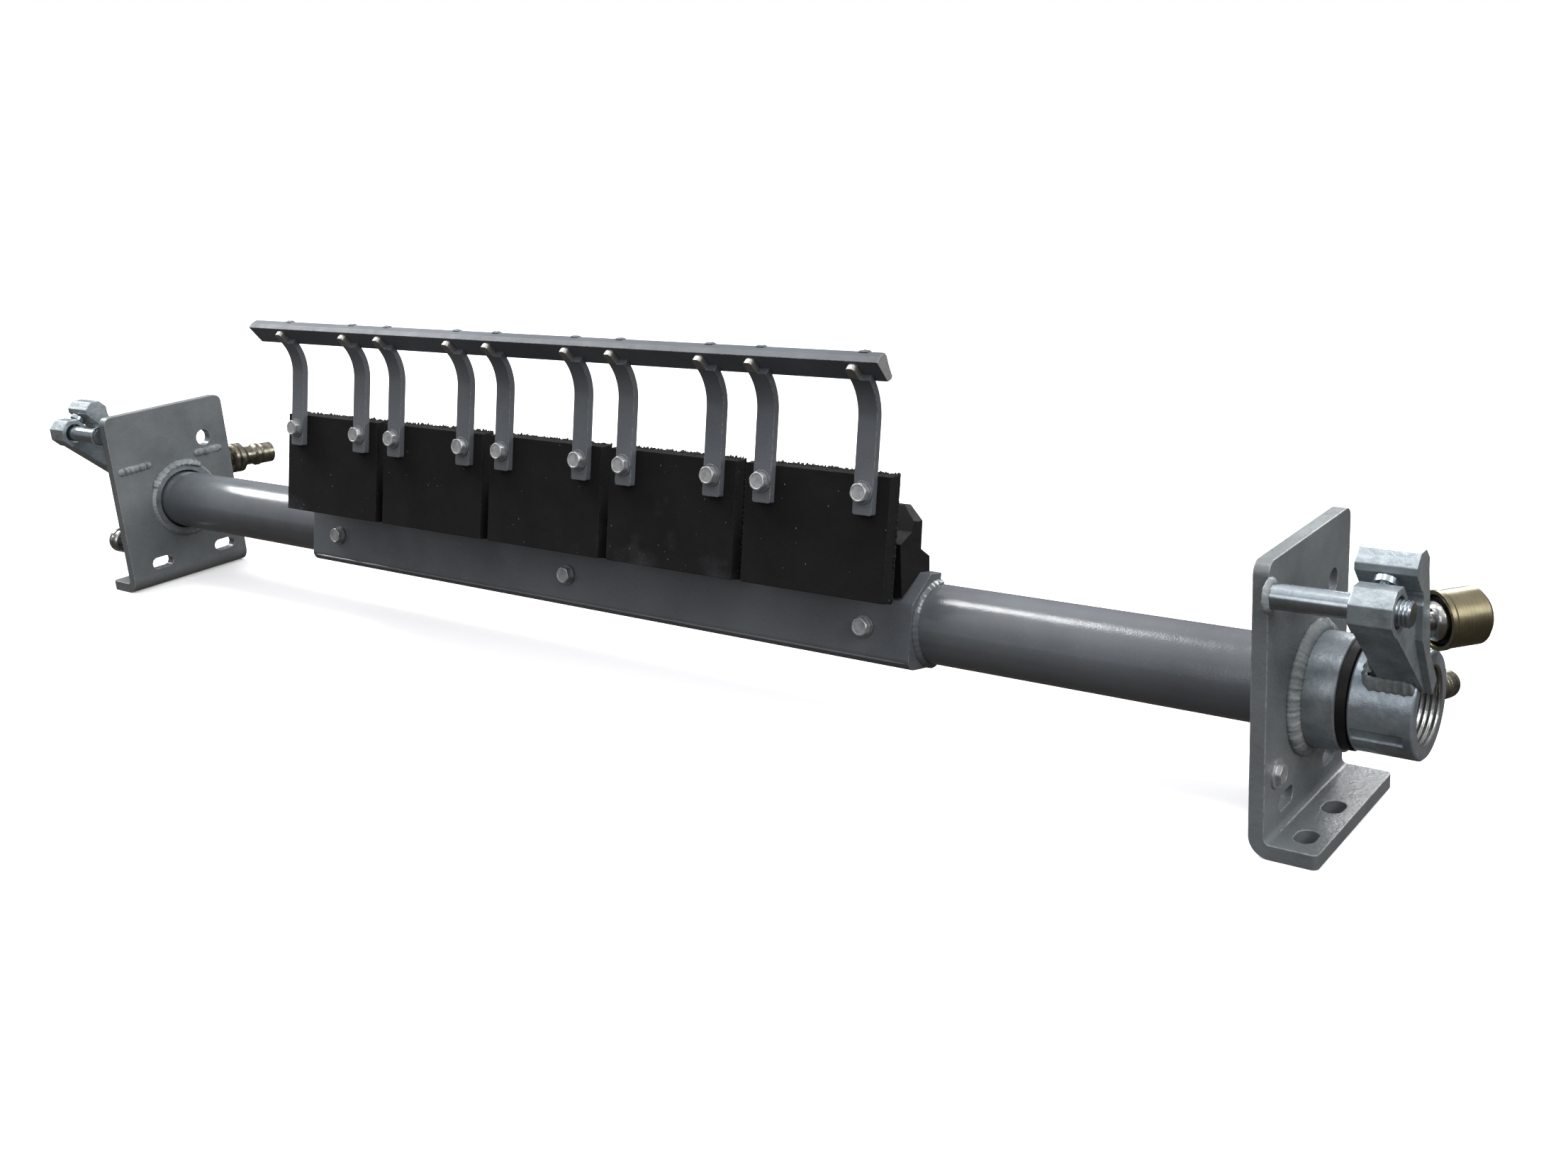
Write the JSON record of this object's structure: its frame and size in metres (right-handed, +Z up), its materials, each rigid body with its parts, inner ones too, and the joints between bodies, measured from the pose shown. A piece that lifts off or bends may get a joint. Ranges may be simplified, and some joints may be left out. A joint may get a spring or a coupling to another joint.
{
  "type": "conveyor belt scraper",
  "caption": "Conveyor belt scraper: blade bar on curved spring arms and rubber spring blocks, carried by a cross tube that turns in two slotted side plates.",
  "frame": {"origin": "on the cross tube's axis, midway between the side plates", "axes": "+X along the tube to the side with the low bolt, +Y away from the blade, +Z up"},
  "size_m": [1.4838, 0.2195, 0.2985],
  "materials": {
    "plate_paint": "semi-gloss",
    "tube_paint": "semi-gloss",
    "cast_metal": "zinc-coated casting",
    "zinc_steel": "zinc plated",
    "polished_metal": "turned",
    "bronze": "dark, dull",
    "brass": "turned",
    "rubber": "matt, moulded",
    "bush_plastic": "matt"
  },
  "bodies": {
    "frame": {"side_plate_left": "plate_paint", "side_plate_right": "plate_paint", "bush_housing_left": "plate_paint", "bush_housing_right": "plate_paint", "polymer_bush_left": "bush_plastic", "polymer_bush_right": "bush_plastic", "anchor_stud_left": "zinc_steel", "anchor_stud_right": "zinc_steel", "corner_bolt_right": "zinc_steel", "stop_knob_left": "polished_metal", "grease_nipple_left": "bronze"},
    "turning_tube": {"cross_tube": "tube_paint", "mounting_saddle": "tube_paint", "saddle_bolts": "zinc_steel", "saddle_washers": "zinc_steel", "threaded_hub_left": "cast_metal", "threaded_hub_right": "cast_metal", "tension_lever_left": "cast_metal", "tension_lever_right": "cast_metal", "ball_stud_left": "zinc_steel", "ball_stud_right": "zinc_steel", "buffer_ring_left": "rubber", "buffer_ring_right": "rubber", "buffer_sleeve_left": "brass", "buffer_sleeve_right": "brass", "hub_nipple_right": "bronze", "spring_block_1": "rubber", "spring_block_2": "rubber", "spring_block_3": "rubber", "spring_block_4": "rubber", "spring_block_5": "rubber"},
    "screw_left": {"set_screw_left": "zinc_steel"},
    "screw_right": {"set_screw_right": "zinc_steel"},
    "blade_set": {"face_pad_1": "rubber", "face_pad_2": "rubber", "face_pad_3": "rubber", "face_pad_4": "rubber", "face_pad_5": "rubber", "spring_arm_01": "tube_paint", "spring_arm_02": "tube_paint", "spring_arm_03": "tube_paint", "spring_arm_04": "tube_paint", "spring_arm_05": "tube_paint", "spring_arm_06": "tube_paint", "spring_arm_07": "tube_paint", "spring_arm_08": "tube_paint", "spring_arm_09": "tube_paint", "spring_arm_10": "tube_paint", "blade_bar": "tube_paint", "arm_bolts": "zinc_steel", "arm_washers": "zinc_steel", "arm_nuts": "zinc_steel"}
  },
  "joints": [
    {"name": "tube_turn", "type": "hinge", "parent": "frame", "child": "turning_tube", "pos_m": [0, 0, 0], "axis": [1, 0, 0], "range_deg": [-0.9, 0.9]},
    {"name": "set_screw_slide_left", "type": "slide", "parent": "turning_tube", "child": "screw_left", "axis": [0, 0.7368, 0.6761], "range_m": [-0.00181, 0.00181]},
    {"name": "set_screw_slide_right", "type": "slide", "parent": "turning_tube", "child": "screw_right", "axis": [0, 0.7368, 0.6761], "range_m": [-0.00181, 0.00181]},
    {"name": "blade_flex", "type": "hinge", "parent": "turning_tube", "child": "blade_set", "pos_m": [0, -0.04284, 0.05818], "axis": [1, 0, 0], "range_deg": [-6, 6], "stiffness_Nm_per_rad": 300}
  ],
  "couplings": [
    {"joint": "set_screw_slide_left", "follows": "tube_turn", "m_per_rad": 0.11536},
    {"joint": "set_screw_slide_right", "follows": "tube_turn", "m_per_rad": 0.11536}
  ]
}
